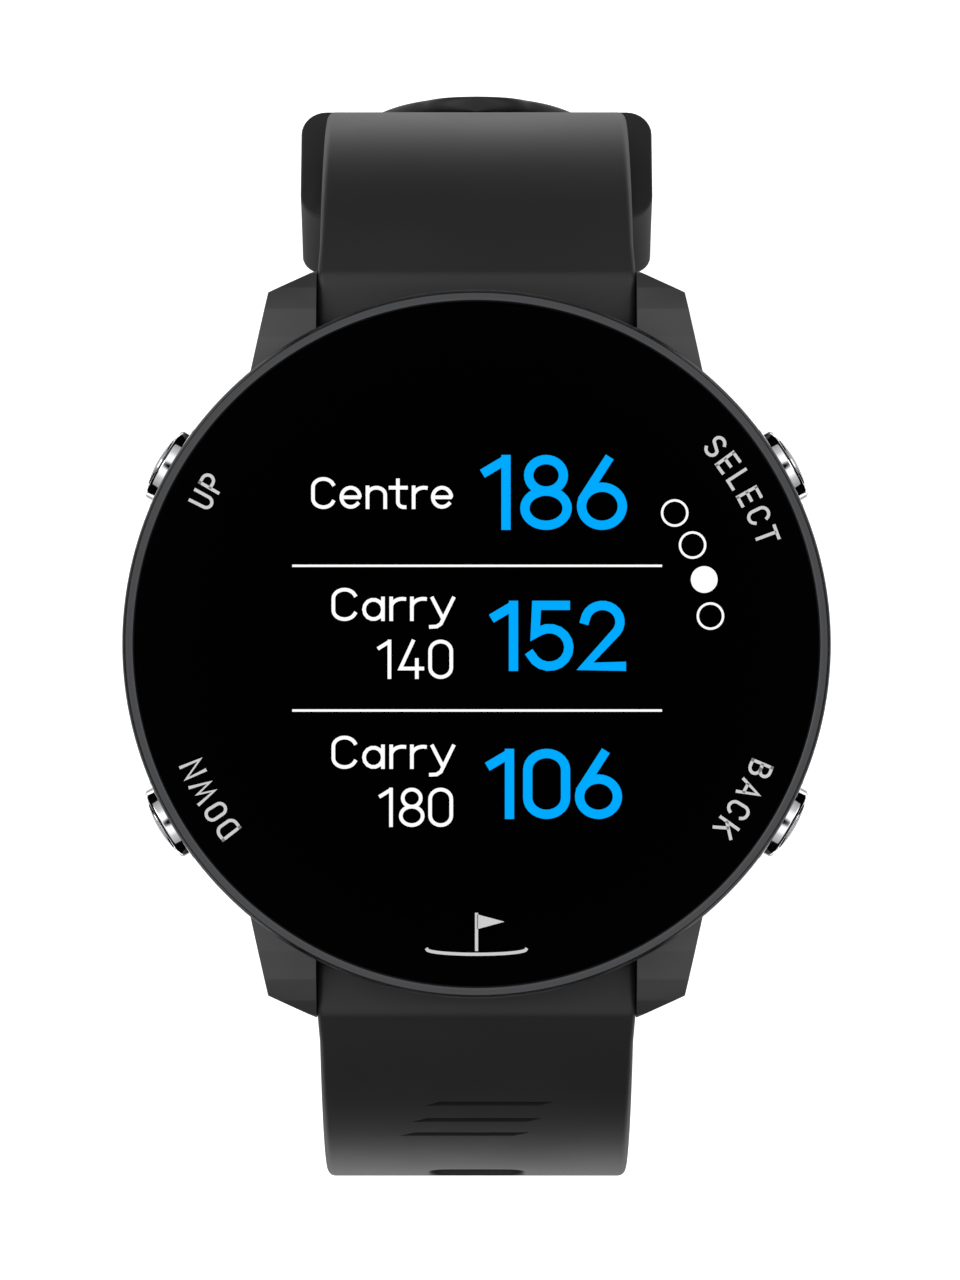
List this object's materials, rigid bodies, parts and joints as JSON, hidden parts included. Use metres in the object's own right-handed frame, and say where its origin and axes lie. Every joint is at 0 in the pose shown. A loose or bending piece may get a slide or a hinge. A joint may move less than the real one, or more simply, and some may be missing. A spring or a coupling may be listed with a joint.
{
  "type": "golf gps watch",
  "caption": "Round golf GPS watch with four side pushers, glass front and a buckled silicone band with two keepers, standing face up.",
  "frame": {"origin": "middle of the object's box, on the surface that the buckled band stands on", "axes": "+Z out of the display, +Y towards 12 o'clock, +X towards 3 o'clock"},
  "size_m": [0.0446, 0.0731, 0.0625],
  "materials": {
    "case": "satin moulded black polymer",
    "case_back": "matt moulded black polymer",
    "bezel": "satin dark grey coated metal",
    "lens": "gloss black printed cover glass",
    "gasket": "matt",
    "display": "gloss dark display module",
    "bracket": "matt",
    "battery_foil": "satin pouch foil",
    "board": "solder mask green",
    "steel": "plain steel",
    "ceramic": "matt ceramic patch",
    "silicone": "satin black silicone",
    "buckle": "satin black coated steel",
    "chrome": "polished",
    "screw": "dark plated",
    "contact": "gold plated"
  },
  "bodies": {
    "root": {"case_body": "case", "case_back": "case_back", "bezel_ring": "bezel", "lens": "lens", "lens_gasket": "gasket", "back_gasket": "gasket", "display_panel": "display", "display_bracket": "bracket", "battery": "battery_foil", "main_board": "board", "shield_can": "steel", "gps_antenna": "ceramic", "vibration_motor": "steel", "strap_upper": "silicone", "strap_lower": "silicone", "keeper_fixed": "silicone", "spring_bar_upper": "steel", "spring_bar_lower": "steel", "buckle_frame": "buckle", "buckle_pin": "steel", "button_collar_up": "chrome", "button_seal_up": "gasket", "button_spring_up": "steel", "tact_switch_up": "steel", "button_collar_select": "chrome", "button_seal_select": "gasket", "button_spring_select": "steel", "tact_switch_select": "steel", "button_collar_down": "chrome", "button_seal_down": "gasket", "button_spring_down": "steel", "tact_switch_down": "steel", "button_collar_back": "chrome", "button_seal_back": "gasket", "button_spring_back": "steel", "tact_switch_back": "steel", "back_screw_1": "screw", "charge_contact_1": "contact", "back_screw_2": "screw", "charge_contact_2": "contact", "back_screw_3": "screw", "charge_contact_3": "contact", "back_screw_4": "screw", "charge_contact_4": "contact"},
    "keeper_free": {"keeper_free": "silicone"},
    "buckle_tang": {"buckle_tang": "buckle"},
    "button_up": {"button_up": "chrome", "button_clip_up": "steel"},
    "button_select": {"button_select": "chrome", "button_clip_select": "steel"},
    "button_down": {"button_down": "chrome", "button_clip_down": "steel"},
    "button_back": {"button_back": "chrome", "button_clip_back": "steel"},
    "bar_tip_upper_right": {"bar_tip_upper_right": "steel"},
    "bar_tip_upper_left": {"bar_tip_upper_left": "steel"},
    "bar_tip_lower_right": {"bar_tip_lower_right": "steel"},
    "bar_tip_lower_left": {"bar_tip_lower_left": "steel"}
  },
  "joints": [
    {"name": "button_up_press", "type": "slide", "parent": "root", "child": "button_up", "axis": [0.866, -0.5, 0], "range_m": [0, 0.0005], "stiffness_N_per_m": 800, "springref_m": -0.0005, "deforming": ["button_spring_up"]},
    {"name": "button_select_press", "type": "slide", "parent": "root", "child": "button_select", "axis": [-0.866, -0.5, 0], "range_m": [0, 0.0005], "stiffness_N_per_m": 800, "springref_m": -0.0005, "deforming": ["button_spring_select"]},
    {"name": "button_down_press", "type": "slide", "parent": "root", "child": "button_down", "axis": [0.866, 0.5, 0], "range_m": [0, 0.0005], "stiffness_N_per_m": 800, "springref_m": -0.0005, "deforming": ["button_spring_down"]},
    {"name": "button_back_press", "type": "slide", "parent": "root", "child": "button_back", "axis": [-0.866, 0.5, 0], "range_m": [0, 0.0005], "stiffness_N_per_m": 800, "springref_m": -0.0005, "deforming": ["button_spring_back"]},
    {"name": "bar_tip_upper_right_slide", "type": "slide", "parent": "root", "child": "bar_tip_upper_right", "axis": [-1, 0, 0], "range_m": [0, 0.0013], "stiffness_N_per_m": 500, "springref_m": -0.0005},
    {"name": "bar_tip_upper_left_slide", "type": "slide", "parent": "root", "child": "bar_tip_upper_left", "axis": [1, 0, 0], "range_m": [0, 0.0013], "stiffness_N_per_m": 500, "springref_m": -0.0005},
    {"name": "bar_tip_lower_right_slide", "type": "slide", "parent": "root", "child": "bar_tip_lower_right", "axis": [-1, 0, 0], "range_m": [0, 0.0013], "stiffness_N_per_m": 500, "springref_m": -0.0005},
    {"name": "bar_tip_lower_left_slide", "type": "slide", "parent": "root", "child": "bar_tip_lower_left", "axis": [1, 0, 0], "range_m": [0, 0.0013], "stiffness_N_per_m": 500, "springref_m": -0.0005},
    {"name": "keeper_slide_round_band", "type": "hinge", "parent": "root", "child": "keeper_free", "pos_m": [0, 0.01023, 0.02939], "axis": [1, 0, 0], "range_deg": [-42, 16]},
    {"name": "tang_swing", "type": "hinge", "parent": "root", "child": "buckle_tang", "pos_m": [0, 0.00148, 0.0063], "axis": [1, 0, 0], "range_deg": [0, 1.4]}
  ]
}
